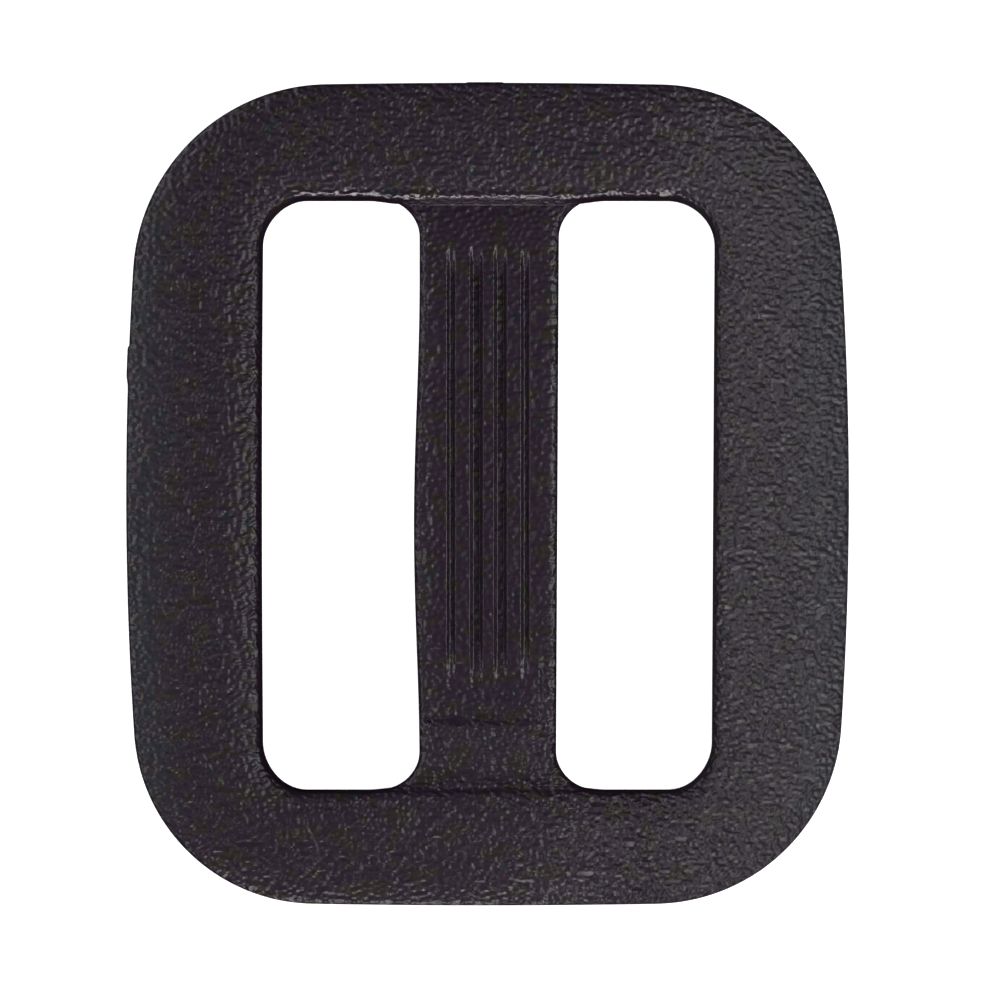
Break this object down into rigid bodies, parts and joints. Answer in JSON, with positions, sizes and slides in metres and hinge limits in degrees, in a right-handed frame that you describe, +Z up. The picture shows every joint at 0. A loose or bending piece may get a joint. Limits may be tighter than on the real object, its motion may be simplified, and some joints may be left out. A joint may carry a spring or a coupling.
{
  "type": "webbing slider buckle",
  "caption": "Flat moulded slider for webbing: a rounded rectangular frame with bowed sides and a lower, lengthwise-ribbed centre bar between two long slots.",
  "frame": {"origin": "middle of the frame, on the plane that its back rests on", "axes": "+Z up, out of the face that the ribs are on; +Y along the centre bar, across the webbing; +X along the webbing's run"},
  "size_m": [0.032, 0.0364, 0.0032],
  "materials": {
    "black_plastic": "fine spark-eroded grain, satin"
  },
  "bodies": {
    "root": {"frame": "black_plastic", "centre_bar": "black_plastic"}
  },
  "joints": []
}
